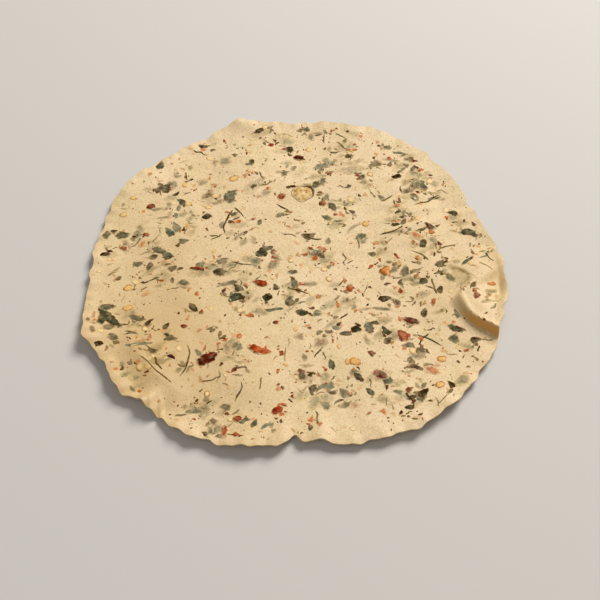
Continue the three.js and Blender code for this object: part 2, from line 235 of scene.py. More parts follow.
def sheet_height(x, y):
    """Height of the middle of the sheet's thickness."""
    angle = np.degrees(np.arctan2(y, x))
    radius = np.hypot(x, y)
    inwards = np.maximum(rim_radius(angle) - radius, 0)
    free = ramp(radius, FOOT_RADIUS, FREE_RADIUS)
    lifted = lifted_height(x, y, angle, radius, inwards)
    return SHEET_THICKNESS / 2 + free * lifted + fold_height(x, y, angle, inwards)


def slopes(x, y):
    """Rise of the sheet for each millimetre to the right and to the back."""
    to_right = sheet_height(x + SLOPE_STEP, y) - sheet_height(x - SLOPE_STEP, y)
    to_back = sheet_height(x, y + SLOPE_STEP) - sheet_height(x, y - SLOPE_STEP)
    return to_right / (2 * SLOPE_STEP), to_back / (2 * SLOPE_STEP)


skin_draws = np.random.default_rng(5)
skin_lengths = skin_draws.uniform(*SKIN_WAVE_LENGTHS, SKIN_WAVES)
skin_ways = skin_draws.uniform(0, 360, SKIN_WAVES)
skin_starts = skin_draws.uniform(0, 2 * math.pi, SKIN_WAVES)


def skin_relief(x, y):
    """The low unevenness that the rolling pin leaves."""
    relief = 0.0
    for length, way, start in zip(skin_lengths, skin_ways, skin_starts):
        along, _ = along_line(x, y, 0, 0, way)
        relief = relief + SKIN_STEEPNESS * length * np.sin(along / length * 2 * math.pi + start)
    return relief


def skin_points(x, y, face, raised):
    """Spots on the top (face 1) or the underside (face -1) of the sheet, raised off its skin."""
    to_right, to_back = slopes(x, y)
    normals = np.stack([-to_right, -to_back, np.ones_like(x)], 1)
    normals /= np.linalg.norm(normals, axis=1, keepdims=True)
    free = np.where(face > 0, 1.0, ramp(np.hypot(x, y), FOOT_RADIUS, FREE_RADIUS))
    flush = np.where(raised > 0, raised * (FOOT_FLUSH + (1 - FOOT_FLUSH) * free), raised)
    off_middle = face * (SHEET_THICKNESS / 2 + flush) + free * skin_relief(x, y)
    points = np.stack([x, y, sheet_height(x, y)], 1) + normals * off_middle[:, None]
    points[:, 2] = np.maximum(points[:, 2], LOWEST)
    return points


def ring_plan(rings):
    """Spots over the whole sheet, in rings that lie closer towards its nibbled rim."""
    x, y = [np.zeros(1)], [np.zeros(1)]
    for ring in range(1, rings + 1):
        share = (ring / rings) ** RING_CROWDING
        angle = np.arange(RING_SIDES * ring) * 360.0 / (RING_SIDES * ring)
        nibbled = rim_radius(angle)
        for waves, depth, start in RIM_NIBBLES:
            nibbled = nibbled + depth * np.sin(np.radians(waves * angle + start))
        nibbled = nibbled - RIM_CRIMPS["depth"] * crimps(angle)
        radius = SHEET_RADIUS * share + (nibbled - SHEET_RADIUS) * share**4
        x.append(radius * np.cos(np.radians(angle)))
        y.append(radius * np.sin(np.radians(angle)))
    return np.concatenate(x), np.concatenate(y)


def ring_start(ring):
    """The number of a ring's first spot."""
    return 0 if ring == 0 else 1 + RING_SIDES * ring * (ring - 1) // 2


def ring_facets(rings):
    """Facets between the rings, facing up."""
    facets = []
    for ring in range(1, rings + 1):
        sector, side = np.divmod(np.arange(RING_SIDES * ring), ring)
        sides, inner_sides = RING_SIDES * ring, max(RING_SIDES * (ring - 1), 1)
        outer = ring_start(ring) + np.arange(sides)
        following = np.roll(outer, -1)
        inner = ring_start(ring - 1) + (sector * (ring - 1) + side) % inner_sides
        inner_following = ring_start(ring - 1) + (sector * (ring - 1) + side + 1) % inner_sides
        facets.append(np.stack([outer, following, inner], 1))
        between = side < ring - 1
        facets.append(np.stack([following, inner_following, inner], 1)[between])
    return np.concatenate(facets)


def make_piece(name, points, facets, values):
    """A mesh piece in the frame's metres, with a number at each point under each name in values."""
    mesh = bpy.data.meshes.new(name)
    mesh.from_pydata(((points - sheet_middle) * MM).tolist(), [], facets.tolist())
    for key, numbers in values.items():
        mesh.attributes.new(key, "FLOAT", "POINT").data.foreach_set("value", numbers.astype(np.float32))
    mesh.shade_smooth()
    piece = bpy.data.objects.new(name, mesh)
    bpy.context.scene.collection.objects.link(piece)
    return piece


plan_x, plan_y = ring_plan(SHEET_RINGS)
above = skin_points(plan_x, plan_y, 1, np.zeros_like(plan_x))
below = skin_points(plan_x, plan_y, -1, np.zeros_like(plan_x))
rim = ring_start(SHEET_RINGS) + np.arange(RING_SIDES * SHEET_RINGS)
outwards = np.stack([plan_x[rim], plan_y[rim], np.zeros(len(rim))], 1)
outwards *= EDGE_BULGE / np.linalg.norm(outwards, axis=1, keepdims=True)
edge = (above[rim] + below[rim]) / 2 + outwards
sheet_points = np.concatenate([above, below, edge])
sheet_middle = (sheet_points.min(0) + sheet_points.max(0)) / 2
sheet_middle[2] = 0.0
facets_above = ring_facets(SHEET_RINGS)
facets_below = facets_above[:, ::-1] + len(above)
top_row, low_row, edge_row = rim, rim + len(above), np.arange(len(rim)) + 2 * len(above)
bands = []
for upper, lower in ((top_row, edge_row), (edge_row, low_row)):
    upper_next, lower_next = np.roll(upper, -1), np.roll(lower, -1)
    bands.append(np.stack([lower, lower_next, upper_next], 1))
    bands.append(np.stack([lower, upper_next, upper], 1))
sheet_facets = np.concatenate([facets_above, facets_below, *bands])


def dough_values(x, y):
    """How far the dough goes to ochre at a spot: its own ochre along the rim, and painted shade in patches
    turned from the light.
    How far it goes to painted amber shade, where it rises steeply to the back and faces away from the light,
    standing for light through it."""
    inside_rim = rim_radius(np.degrees(np.arctan2(y, x))) - np.hypot(x, y)
    ochre_and_painted_shade = RIM_OCHRE["most"] * (1 - ramp(inside_rim, 0, RIM_OCHRE["width"]))
    for spot_x, spot_y, spread, most in PAINTED_SHADE_PATCHES:
        ochre_and_painted_shade = ochre_and_painted_shade + most * hump(np.hypot(x - spot_x, y - spot_y) / spread)
    return {"ochre_and_painted_shade": ochre_and_painted_shade, "painted_amber_shade": ramp(slopes(x, y)[1], *PAINTED_AMBER_SLOPES)}


sheet_values = dough_values(plan_x, plan_y)
sheet = make_piece("dough_sheet", sheet_points, sheet_facets, {
    key: np.concatenate([numbers, numbers, numbers[rim]]) for key, numbers in sheet_values.items()
})
sheet.data.set_sharp_from_angle(angle=math.radians(EDGE_CORNER))


def linear(colour):
    """A colour for a shader from its sRGB hex value."""
    shares = [int(colour[i:i + 2], 16) / 255 for i in (1, 3, 5)]
    return [s / 12.92 if s <= 0.04045 else ((s + 0.055) / 1.055) ** 2.4 for s in shares] + [1.0]


def add(tree, kind, inputs=None, stops=(), **settings):
    """One node with its settings, its colour stops, and its inputs, by name or number, set or linked."""
    made = tree.nodes.new("ShaderNode" + kind)
    for name, value in settings.items():
        setattr(made, name, value)
    for index, (position, colour) in enumerate(stops):
        elements = made.color_ramp.elements
        stop = elements[index] if index < 2 else elements.new(position)
        stop.position = position
        stop.color = linear(colour)
    for name, value in (inputs or {}).items():
        if isinstance(value, bpy.types.NodeSocket):
            tree.links.new(value, made.inputs[name])
        else:
            made.inputs[name].default_value = value
    return made


def per_metre(size):
    """A texture's scale for marks of a size in millimetres."""
    return 1 / (size * MM)


# Dried lentil dough: a matt, floury skin over a slightly see-through body. It gives a warm cream that is
# a little uneven, with a fine grain and dust of spice. Painted amber shade stands for light coming through
# it where it faces away from the light, and painted ochre shade darkens patches turned from the light.
DOUGH_ROUGHNESS = 0.58
DOUGH_IOR = 1.45  # of dried starch, and near enough of dried leaf and skin
DOUGH_GRAIN = 0.8  # millimetres: the flour's own grain is about 0.2, drawn coarser here so that it shows
DOUGH_MARKS = {  # millimetres across, and how many finer steps each has
    "cloud": (34, 2.0),
    "patch": (13, 1.0),
    "mottle": (5, 4.0),
    "grain": (DOUGH_GRAIN, 2.0),
    "dust": (0.8, 3.0),
}
MOTTLE_WEIGHT, GRAIN_WEIGHT = 0.5, 3.2  # against the clouds
DOUGH_DARKEST, DOUGH_PALEST = 2.0, 2.65  # the sum of the three there
DUST_FROM, DUST_FULL, DUST_MOST = 0.6, 0.75, 0.5
DOUGH_TINT = 0.25  # the share of the greenish and pinkish patches
DOUGH_BODY = ((0.0, "#d5b682"), (0.35, "#e0c28f"), (0.7, "#e8cb9a"), (1.0, "#f0d5a7"))
DOUGH_TINTS = ((0.35, "#d9c48c"), (0.65, "#e9c69f"))
# the rim's own ochre, also used for painted shade in patches turned from the light
OCHRE_AND_SHADE_COLOUR = linear("#c9a468")
# painted shade: warm amber for light through the dough on slopes that face away from the light
PAINTED_AMBER_COLOUR = linear("#dca453")
DOUGH_DUST_COLOUR = linear("#a88d62")
SKIN_GRIT = 0.12  # millimetres: how rough the floury skin feels


def dough_colour(tree):
    """The dough's colour with its painted ochre and amber shade, also for the skin of dough over what is
    rolled into it.
    """
    place = add(tree, "TexCoord").outputs["Object"]
    mark = {}
    for name, (size, detail) in DOUGH_MARKS.items():
        noise = add(tree, "TexNoise", {"Vector": place, "Scale": per_metre(size), "Detail": detail})
        mark[name] = noise.outputs[0]
    both = add(tree, "Math", {0: mark["mottle"], 1: MOTTLE_WEIGHT, 2: mark["cloud"]},
               operation="MULTIPLY_ADD")
    all_three = add(tree, "Math", {0: mark["grain"], 1: GRAIN_WEIGHT, 2: both.outputs[0]},
                    operation="MULTIPLY_ADD")
    share = add(tree, "MapRange",
                {0: all_three.outputs[0], 1: DOUGH_DARKEST, 2: DOUGH_PALEST, 3: 0.0, 4: 1.0})
    body = add(tree, "ValToRGB", {0: share.outputs[0]}, stops=DOUGH_BODY)
    tint = add(tree, "ValToRGB", {0: mark["patch"]}, stops=DOUGH_TINTS)
    tinted = add(tree, "Mix", {0: DOUGH_TINT, 6: body.outputs[0], 7: tint.outputs[0]}, data_type="RGBA")
    dusted = add(tree, "MapRange", {0: mark["dust"], 1: DUST_FROM, 2: DUST_FULL, 3: 0.0, 4: DUST_MOST})
    speckled = add(tree, "Mix", {0: dusted.outputs[0], 6: tinted.outputs[2], 7: DOUGH_DUST_COLOUR},
                   data_type="RGBA")
    # the rim's own ochre plus painted shade in patches turned from the light
    ochre_and_shade_part = add(tree, "Attribute", attribute_name="ochre_and_painted_shade").outputs["Fac"]
    darkened = add(tree, "Mix", {0: ochre_and_shade_part, 6: speckled.outputs[2], 7: OCHRE_AND_SHADE_COLOUR}, data_type="RGBA")
    # painted amber shade on slopes that face away from the light
    painted_amber_part = add(tree, "Attribute", attribute_name="painted_amber_shade").outputs["Fac"]
    with_painted_amber = add(tree, "Mix", {0: painted_amber_part, 6: darkened.outputs[2], 7: PAINTED_AMBER_COLOUR}, data_type="RGBA")
    return with_painted_amber.outputs[2]


dried_dough = bpy.data.materials.new("dried_lentil_dough")
dried_dough.use_nodes = True
tree = dried_dough.node_tree
place = add(tree, "TexCoord").outputs["Object"]
grit = add(tree, "TexNoise", {"Vector": place, "Scale": per_metre(DOUGH_GRAIN), "Detail": 3.0})
bump = add(tree, "Bump", {"Height": grit.outputs[0], "Strength": 0.4, "Distance": SKIN_GRIT * MM})
skin = tree.nodes["Principled BSDF"]
tree.links.new(dough_colour(tree), skin.inputs["Base Color"])
tree.links.new(bump.outputs[0], skin.inputs["Normal"])
skin.inputs["Roughness"].default_value = DOUGH_ROUGHNESS
skin.inputs["IOR"].default_value = DOUGH_IOR
sheet.data.materials.append(dried_dough)
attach(sheet, "root")
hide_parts("papadum")

# Herb leaves.
# Whole leaflets and torn bits of a dried herb, stirred into the dough and rolled flat with it.
# Near the top they show dark and sharp; the dough over the deeper ones turns them pale and soft-edged.
FLAKE_RINGS = (0.5, 0.85, 1.0)  # from the middle of a flake out to its edge
FLAKE_JOINTS = np.array((-1, -0.5, 0, 0.5, 1))  # where a flake can bend along its length
FLAKE_SKIRT = 0.04  # the edge of a flake goes this far under the skin of the dough
FLAKE_FOOT = 0.12  # and its underside this far
FLAKE_FLUSH = 0.025  # a flake deep in the dough stands out this little
FLAKE_CORNER = 70  # degrees: what is bent more shows as a corner
SMALL_FLAKES = (2, 15)  # square millimetres: a leaf of the first size is brown, one of the second green
SPREAD_ROUND_STEP = 0.7548777  # these two steps fill a square evenly, whatever the count
SPREAD_OUT_STEP = 0.5698403
SPREAD_TRIES = 8  # spots looked at for each flake
CLOSE = {"margin": 1, "jitter": 9}  # for small flakes: up to the rim, and well off the even steps
NARROWEST = 0.7
RIM_CLEAR = 0.5  # the tip of a flake stays this far inside the rim
SCRAP = {"lengths": (0.45, 0.75), "slims": (0.3, 0.8), "out": 0.55}  # by the length of the flake beside it
ANY_PHASE = (0, 6.28)
TOP, UNDERSIDE = 1, -1
placed = {TOP: [], UNDERSIDE: []}  # where every flake lies so far, on each face
standing = []  # where those lie that stand out of the solid
STEEPEST = 0.35  # no flake is spread where the sheet is steeper
HUSK_CLEAR = 2  # or this near the dome of the husk
CROWDED_PATCHES = (  # where the flakes lie thickest: x, y, how far round
    (26, 60, 26),
    (-44, 36, 20),
    (-58, 6, 18),
    (-19, -7, 22),
    (52, 8, 24),
    (33, -18, 18),
    (44, -54, 24),
    (-76, -25, 16),
    (-28, -74, 14),
    (-64, -46, 18),
    (-50, -62, 12),
)
PATCH_CROWDING = 0.7
RIM_CROWDING = {"most": 0.7, "width": 14}
CROWDING_LIMITS = (0.1, 0.9)  # dough bare of flakes, and full of them
DRIFTS = {"waves": 9, "shortest": 18, "longest": 42, "share": 0.42}  # as in any dough mixed by hand
ROLLED_TURNS = (-15, 50)  # the way the rolling pin has drawn soft leaf out
LEAF_RELIEF = 0.16  # how far the larger leaves, the scraps beside them and the small ones stand out
LEAF_SCRAP_RELIEF = 0.08
SMALL_LEAF_RELIEF = 0.07
WHOLE_LEAFLETS = (  # x, y, length, width, turn, shade from dark to pale, depth in the dough from 0 to 1
    (-61, 55, 6.4, 4, 70, 0.6, 0.05),
    (-73, 15, 8, 4.8, 10, 0.5, 0.1),
    (-75, -22, 9, 4, 16, 0.6, 0.1),
    (-73.5, -27.5, 15, 4.8, -42, 0.4, 0.0),
    (-63, -27, 9, 3.4, -15, 0.5, 0.1),
    (2, -23.5, 6.6, 3.6, -8, 0.3, 0.0),
    (-41, -22, 6.4, 3.4, -50, 0.45, 0.05),
    (35, -17, 6.6, 3.4, 10, 0.25, 0.0),
    (28, -31.5, 8, 4.6, -75, 0.7, 0.1),
    (23, -54, 6, 3.2, -50, 0.4, 0.0),
    (46.5, -61.5, 6.6, 3.6, 40, 0.2, 0.0),
    (27, 15.5, 6.6, 4.4, 25, 0.7, 0.15),
    (15, 32, 6.6, 4, -60, 0.5, 0.1),
    (62, -32, 8.6, 3.4, -20, 0.4, 0.05),
)
TORN_LEAVES = (
    (-58, 42, 7.5, 6, 30, 0.5, 0.05),
    (-32, 59, 9, 7, 100, 0.8, 0.35),
    (-29, 38, 10, 7, 80, 0.7, 0.1),
    (-5, 71, 9, 7, 20, 0.8, 0.45),
    (-57, 7, 8, 4.4, -20, 0.6, 0.1),
    (-15, 7, 6.4, 6, 40, 0.4, 0.05),
    (-24, -16, 6.4, 5.8, 10, 0.35, 0.0),
    (61, -56, 8, 6, 40, 0.6, 0.3),
    (72, 16, 9, 5.4, -15, 0.4, 0.05),
    (44, -4, 8, 4.6, 90, 0.5, 0.15),
)
SMALL_LEAVES = (  # the next largest, too low to stand out of the solid
    (-3.6, 66, 5.4, 4.4, 60, 0.2, 0.05),
    (4, 79, 5.4, 4.4, 20, 0.5, 0.2),
    (-80, 15, 6.5, 4, 80, 0.5, 0.1),
    (-12, -16, 5, 4.4, 30, 0.2, 0.0),
    (23, -32, 4.8, 4.4, 0, 0.2, 0.0),
    (6, -59, 6, 4, 70, 0.4, 0.1),
    (10.5, -63, 7.5, 6, -20, 0.8, 0.45),
    (-5.5, 51, 6, 4.2, 60, 0.5, 0.2),
    (4.2, 44.6, 7, 3.2, -5, 0.3, 0.35),
    (-2, 43.8, 3.8, 1.8, 5, 0.0, 0.0),
    (11, 46.5, 7, 3.6, 80, 0.5, 0.2),
    (51, 51, 6.5, 6, 20, 0.7, 0.4),
    (44, 49, 5, 3.2, 5, 0.0, 0.0),
    (-38.5, 26, 5.2, 3.6, 0, 0.3, 0.0),
    (51, -9, 5.4, 4, 10, 0.4, 0.05),
    (13, 5, 6, 3.6, 10, 0.7, 0.45),
    (-2, -3.5, 6, 2.8, 0, 0.4, 0.2),
    (-27, 0, 11, 6, 10, 0.6, 0.45),
    (-51, -2, 5, 4, 0, 0.4, 0.15),
    (-76, -40, 3.8, 3.4, 0, 0.1, 0.0),
    (-71, -37, 5.4, 4, -20, 0.4, 0.15),
    (-31, -77, 6, 3, 90, 0.4, 0.25),
    (41, 66, 5.4, 3.6, 10, 0.4, 0.2),
)


def seeded_draws(seed):
    """The solid's own draws, so that the flakes spread on it lie at the same spots here."""
    state = seed
    while True:
        state = state * 16807 % 2147483647
        yield state / 2147483647


def has_room(x, y, margin):
    """Whether a flake can lie at a spot: inside the rim, off the husk and off the steep of the fold."""
    inside = rim_radius(math.degrees(math.atan2(y, x))) - math.hypot(x, y)
    off_husk = math.hypot(x - HUSK_DOME["x"], y - HUSK_DOME["y"]) - HUSK_DOME["radius"]
    return inside >= margin and off_husk >= HUSK_CLEAR and math.hypot(*slopes(x, y)) <= STEEPEST


drift_draws = np.random.default_rng(31)
drift_lengths = drift_draws.uniform(DRIFTS["shortest"], DRIFTS["longest"], DRIFTS["waves"])
drift_ways = drift_draws.uniform(0, 2 * math.pi, DRIFTS["waves"])
drift_starts = drift_draws.uniform(0, 2 * math.pi, DRIFTS["waves"])


def crowding(x, y):
    """How thick the flakes lie at a spot, from 0 to 1: in drifts, in patches, and along the rim."""
    inside = rim_radius(math.degrees(math.atan2(y, x))) - math.hypot(x, y)
    thick = RIM_CROWDING["most"] * (1 - ramp(inside, 0, RIM_CROWDING["width"]))
    for at_x, at_y, spread in CROWDED_PATCHES:
        thick += PATCH_CROWDING * hump(math.hypot(x - at_x, y - at_y) / spread)
    along = x * np.cos(drift_ways) + y * np.sin(drift_ways)
    thick += DRIFTS["share"] * np.sin(along / drift_lengths * 2 * math.pi + drift_starts).sum()
    return ramp(thick, *CROWDING_LIMITS)


def spread_rows(seed, count, lengths, slim, clear=6.5, margin=7, jitter=3, face=TOP, among=None,
                crowded=0.0, turns=(0, 180)):
    """Rows of flakes from the longest to the shortest, spread evenly between what already lies there.
    Slim is width by length, clear the least distance between middles, margin that from the rim, jitter how
    far they leave the even steps, and crowded how strictly they keep to where the flakes lie thick."""
    rows = []
    longest, shortest = lengths
    others = placed[face] if among is None else among
    draw = seeded_draws(seed)
    next(draw)  # small, as the seed is
    start = next(draw)
    step = 0
    while len(rows) < count and step < SPREAD_TRIES * count:
        step += 1
        angle = 360 * ((start + step * SPREAD_ROUND_STEP) % 1)
        out = (rim_radius(angle) - margin) * math.sqrt((start + step * SPREAD_OUT_STEP) % 1)
        x = out * math.cos(math.radians(angle)) + jitter * (next(draw) - 0.5)
        y = out * math.sin(math.radians(angle)) + jitter * (next(draw) - 0.5)
        turn = turns[0] + (turns[1] - turns[0]) * next(draw)
        length = longest * (shortest / longest) ** (len(rows) / count)
        if crowded and next(draw) < crowded * (1 - crowding(x, y)):
            continue
        if not has_room(x, y, max(margin, length / 2 + RIM_CLEAR)):
            continue
        if any(math.hypot(x - other[0], y - other[1]) < clear for other in others):
            continue
        rows.append((x, y, length, max(length * slim, NARROWEST), turn))
        others.append((x, y))
        if among is not None:
            placed[face].append((x, y))
    return rows


def scraps_beside(rows, draws, share):
    """Smaller scraps that lie against some of the flakes, as broken leaf and chilli come in clusters."""
    scraps = []
    for x, y, length in [row[:3] for row in rows]:
        if draws.uniform() > share:
            continue
        way = draws.uniform(0, 2 * math.pi)
        scrap = length * draws.uniform(*SCRAP["lengths"])
        out = SCRAP["out"] * length
        x, y = x + out * math.cos(way), y + out * math.sin(way)
        slim, turn = draws.uniform(*SCRAP["slims"]), draws.uniform(0, 180)
        if has_room(x, y, scrap / 2 + RIM_CLEAR):
            scraps.append((x, y, scrap, scrap * slim, turn))
    return scraps


def full_turn(sides):
    return np.arange(sides) * 2 * math.pi / sides


def uneven_circle(draws, turn, oval, three_cornered):
    """How far out a circle goes that is a little oval and a little three-cornered."""
    out = 1 + oval * np.sin(2 * turn + draws.uniform(*ANY_PHASE))
    return out + three_cornered * np.sin(3 * turn + draws.uniform(*ANY_PHASE))


def pointed_outline(draws, sides=14):
    """A leaflet: a pointed oval with a slightly uneven edge, for a length and width of 2."""
    turn = full_turn(sides)
    across = np.sin(turn) * np.abs(np.sin(turn)) ** 0.45
    uneven = 1 + 0.12 * np.sin(3 * turn + draws.uniform(*ANY_PHASE)) * draws.uniform(0, 1)
    return np.cos(turn), across * uneven * (1 - 0.25 * np.cos(turn))


def torn_outline(draws, corners=6, between=2, nearest=0.4):
    """A torn bit: straight torn edges between a few uneven corners, the nearest this far from the middle."""
    turn = (np.arange(corners) + draws.uniform(-0.35, 0.35, corners)) * 2 * math.pi / corners
    out = draws.uniform(nearest, 1.25, corners)
    along, across = out * np.cos(turn), out * np.sin(turn)
    share = np.arange(between) / between
    along = (along[:, None] * (1 - share) + np.roll(along, -1)[:, None] * share).ravel()
    across = (across[:, None] * (1 - share) + np.roll(across, -1)[:, None] * share).ravel()
    return along, across


def cut_outline(draws, sides=14):
    """Part of a leaf: a pointed oval that is torn off square at one end."""
    along, across = pointed_outline(draws, sides)
    return np.maximum(along, -draws.uniform(0.5, 0.8)) * 1.2, across * 1.2


def broad_outline(draws, sides=20):
    """A broad leaf, rounded but for one torn corner."""
    turn = full_turn(sides)
    out = uneven_circle(draws, turn, oval=0.1, three_cornered=0.07)
    torn = draws.uniform(0, 2 * math.pi)
    out = out - 0.35 * hump(np.degrees(np.arcsin(np.sin((turn - torn) / 2))) / 18)
    return out * np.cos(turn), out * np.sin(turn)


def full_outline(draws):
    """A torn bit that is nearly as wide as it is long."""
    return torn_outline(draws, 7, 2, 0.8)


def any_outline(draws):
    return (torn_outline, cut_outline, pointed_outline)[draws.integers(3)](draws)


def soft_outline(draws):
    return (broad_outline, pointed_outline)[draws.integers(2)](draws)


def lay_flakes(flakes, rows, outline, relief, draws, face=TOP, shades=(0, 1), depths=(0, 0), bends=(0, 0),
               dish=0, kink=0):
    """Adds a flake for each row. What a row doesn't say of its shade, depth and bend is drawn.
    Dish is how much higher it is towards its edge, and kink how crooked it is along its length."""
    for row in rows:
        drawn = [draws.uniform(*limits) for limits in (shades, depths, bends)]
        shade, depth, bend = list(row[5:]) + drawn[len(row) - 5:]
        flakes.append({
            "row": row[:5], "outline": outline(draws), "face": face,
            "shade": shade, "depth": depth, "bend": bend, "dish": dish,
            "kinks": draws.normal(0, kink, len(FLAKE_JOINTS)),
            "relief": relief * (1 - depth) ** 3 + FLAKE_FLUSH,
        })
        if len(row) > 5:
            placed[face].append(row[:2])


def lens_facets(sides, rings):
    """Facets of one flake: a fan at its middle, strips out to its edge, and a fan underneath."""
    side = np.arange(sides)
    following = np.roll(side, -1)
    facets = [np.stack([np.zeros(sides, int), 1 + side, 1 + following], 1)]
    for ring in range(rings - 1):
        inner, outer = 1 + ring * sides, 1 + (ring + 1) * sides
        facets.append(np.stack([inner + side, outer + side, outer + following], 1))
        facets.append(np.stack([inner + side, outer + following, inner + following], 1))
    last = 1 + (rings - 1) * sides
    facets.append(np.stack([np.full(sides, last + sides), last + following, last + side], 1))
    return np.concatenate(facets)


def flakes_piece(name, flakes, material, rings=FLAKE_RINGS):
    """One mesh of many flakes, each a closed low lens on the sheet's skin with its edge just under it."""
    shares = np.array(rings)
    columns = {key: [] for key in ("x", "y", "face", "raised", "shade", "depth", "out", "small")}
    facets = []
    count = 0
    for flake in flakes:
        x, y, length, width, turn = flake["row"]
        along, across = flake["outline"]
        sides = len(along)
        along = np.concatenate([[0], np.outer(shares, along).ravel(), [0]])
        across = np.concatenate([[0], np.outer(shares, across).ravel(), [0]])
        out = np.concatenate([[0], np.repeat(shares, sides), [1]])
        lengthwise = along * length / 2
        path = flake["bend"] * (FLAKE_JOINTS**2 - 0.35) + flake["kinks"]
        sideways = across * width / 2 + length / 2 * np.interp(along, FLAKE_JOINTS, path)
        cos, sin = math.cos(math.radians(turn)), math.sin(math.radians(turn))
        raised = flake["relief"] * (1 + flake["dish"] * out**2) * (1 - out**4) - FLAKE_SKIRT * out**4
        raised[-1] = -FLAKE_FOOT
        columns["x"].append(x + lengthwise * cos - sideways * sin)
        columns["y"].append(y + lengthwise * sin + sideways * cos)
        columns["raised"].append(raised)
        columns["out"].append(out)
        columns["small"].append(np.full(len(out), 1 - ramp(length * width, *SMALL_FLAKES)))
        for key in ("face", "shade", "depth"):
            columns[key].append(np.full(len(out), float(flake[key])))
        lens = lens_facets(sides, len(rings)) + count
        facets.append(lens if flake["face"] == TOP else lens[:, ::-1])
        count += len(out)
    joined = {key: np.concatenate(parts) for key, parts in columns.items()}
    points = skin_points(joined["x"], joined["y"], joined["face"], joined["raised"])
    values = {key: joined[key] for key in ("shade", "depth", "out", "small")}
    values.update(dough_values(joined["x"], joined["y"]))
    piece = make_piece(name, points, np.concatenate(facets), values)
    piece.data.set_sharp_from_angle(angle=math.radians(FLAKE_CORNER))
    piece.data.materials.append(material)
    return piece


# Millimetres across, and how many finer steps each has: patches of darker edge, tears, dough over a flake.
FLAKE_MARKS = ((4.0, 2.0), (1.4, 3.0), (2.2, 2.0))
FLAKE_FIBRE = 0.12  # millimetres: how rough a flake feels
FLAKE_MOTTLE = 0.22  # how far its shade goes up and down
FLAKE_TEAR = 0.2  # how far its edge goes in and out, by its own reach
FLAKE_SUNK = (-0.12, 0.22)  # added to its depth where it lies highest, and where lowest


def flake_material(name, stops, edge_colour, edge_share, rough, grain, crisp, shine, edge_from=0.1,
                   edge_least=0.0, small_stops=None):
    """Dried plant matter in dough: its own colours by shade and its own gloss, fading to dough at the edge.
    Grain is how wide its mottling is, and crisp how far out from its middle it stays clear of dough when it
    lies at the top. The edge colour begins at edge_from, and its share goes in patches from the least up.
    Small flakes may have colours of their own."""
    material = bpy.data.materials.new(name)
    material.use_nodes = True
    tree = material.node_tree
    place = add(tree, "TexCoord").outputs["Object"]
    shade, depth, out = [
        add(tree, "Attribute", attribute_name=key).outputs["Fac"] for key in ("shade", "depth", "out")
    ]
    fibre, side, torn, sinking = [
        add(tree, "TexNoise", {"Vector": place, "Scale": per_metre(size), "Detail": detail}).outputs[0]
        for size, detail in ((grain, 3.0), *FLAKE_MARKS)
    ]
    uneven = add(tree, "MapRange", {0: fibre, 1: 0.3, 2: 0.7, 3: -FLAKE_MOTTLE, 4: FLAKE_MOTTLE})
    share = add(tree, "Math", {0: shade, 1: uneven.outputs[0]}, operation="ADD", use_clamp=True)
    own = add(tree, "ValToRGB", {0: share.outputs[0]}, stops=stops).outputs[0]
    if small_stops:
        small = add(tree, "Attribute", attribute_name="small").outputs["Fac"]
        browned = add(tree, "ValToRGB", {0: share.outputs[0]}, stops=small_stops).outputs[0]
        own = add(tree, "Mix", {0: small, 6: own, 7: browned}, data_type="RGBA").outputs[2]
    on_side = add(tree, "MapRange", {0: side, 1: 0.42, 2: 0.56, 3: edge_least, 4: edge_share})
    near_edge = add(tree, "MapRange", {0: out, 1: edge_from, 2: 0.75, 3: 0.0, 4: on_side.outputs[0]})
    edged = add(tree, "Mix", {0: near_edge.outputs[0], 6: own, 7: linear(edge_colour)},
                data_type="RGBA")
    ragged = add(tree, "MapRange", {0: torn, 1: 0.3, 2: 0.7, 3: -FLAKE_TEAR, 4: FLAKE_TEAR})
    ragged_out = add(tree, "Math", {0: out, 1: ragged.outputs[0]}, operation="ADD")
    sunk = add(tree, "MapRange", {0: sinking, 1: 0.35, 2: 0.7, 3: FLAKE_SUNK[0], 4: FLAKE_SUNK[1]})
    film = add(tree, "Math", {0: depth, 1: sunk.outputs[0]}, operation="ADD", use_clamp=True)
    bare = add(tree, "Math", {0: 1.0, 1: film.outputs[0]}, operation="SUBTRACT")
    soft = add(tree, "MapRange", {0: depth, 1: 0.0, 2: 0.5, 3: crisp, 4: 0.0})
    inside = add(tree, "MapRange", {0: ragged_out.outputs[0], 1: soft.outputs[0], 2: 0.98, 3: 1.0, 4: 0.0},
                 interpolation_type="SMOOTHSTEP")
    showing = add(tree, "Math", {0: bare.outputs[0], 1: inside.outputs[0]}, operation="MULTIPLY")
    covered = add(tree, "Math", {0: 1.0, 1: showing.outputs[0]}, operation="SUBTRACT")
    colour = add(tree, "Mix", {0: covered.outputs[0], 6: edged.outputs[2], 7: dough_colour(tree)},
                 data_type="RGBA")
    gloss = add(tree, "MapRange", {0: covered.outputs[0], 1: 0.0, 2: 1.0, 3: rough, 4: DOUGH_ROUGHNESS})
    bump = add(tree, "Bump", {"Height": fibre, "Strength": 0.25, "Distance": FLAKE_FIBRE * MM})
    skin = tree.nodes["Principled BSDF"]
    tree.links.new(colour.outputs[2], skin.inputs["Base Color"])
    tree.links.new(gloss.outputs[0], skin.inputs["Roughness"])
    tree.links.new(bump.outputs[0], skin.inputs["Normal"])
    skin.inputs["IOR"].default_value = DOUGH_IOR
    skin.inputs["Specular IOR Level"].default_value = shine
    return material


